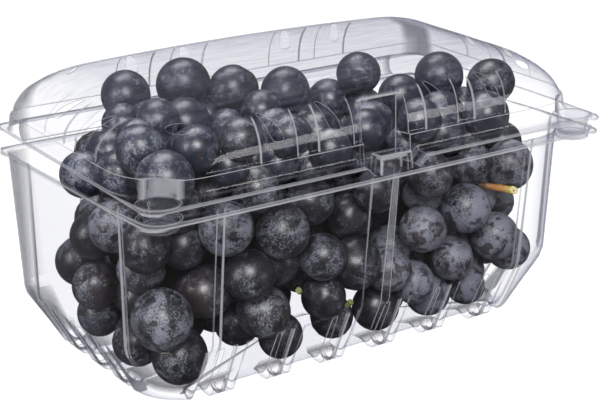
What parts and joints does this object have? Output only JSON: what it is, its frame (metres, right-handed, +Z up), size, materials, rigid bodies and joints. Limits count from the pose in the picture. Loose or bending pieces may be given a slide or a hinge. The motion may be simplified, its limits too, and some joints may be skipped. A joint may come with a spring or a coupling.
{
  "type": "hinged punnet of grapes",
  "caption": "Clear moulded punnet with a hinged, domed and vented lid, filled with a heap of dark grapes.",
  "frame": {"origin": "middle of the whole punnet in plan, at the level of the feet", "axes": "+X along the long front edge to the right, -Y to the front with the snap buttons, +Z up"},
  "size_m": [0.19, 0.115, 0.1041],
  "materials": {
    "clear_tray": "clear moulded sheet, glossy",
    "clear_lid": "clear moulded sheet, glossy",
    "grape_skin": "dark blue-black skin with a pale bloom",
    "cut_stalk": "dry cut stalk"
  },
  "bodies": {
    "box": {"tray": "clear_tray", "grapes": "grape_skin", "stalk": "cut_stalk"},
    "lid": {"lid": "clear_lid"}
  },
  "joints": [
    {"name": "lid_hinge", "type": "hinge", "parent": "box", "child": "lid", "pos_m": [0, 0.05783, 0.07751], "axis": [-1, 0, 0], "range_deg": [0, 180]}
  ]
}
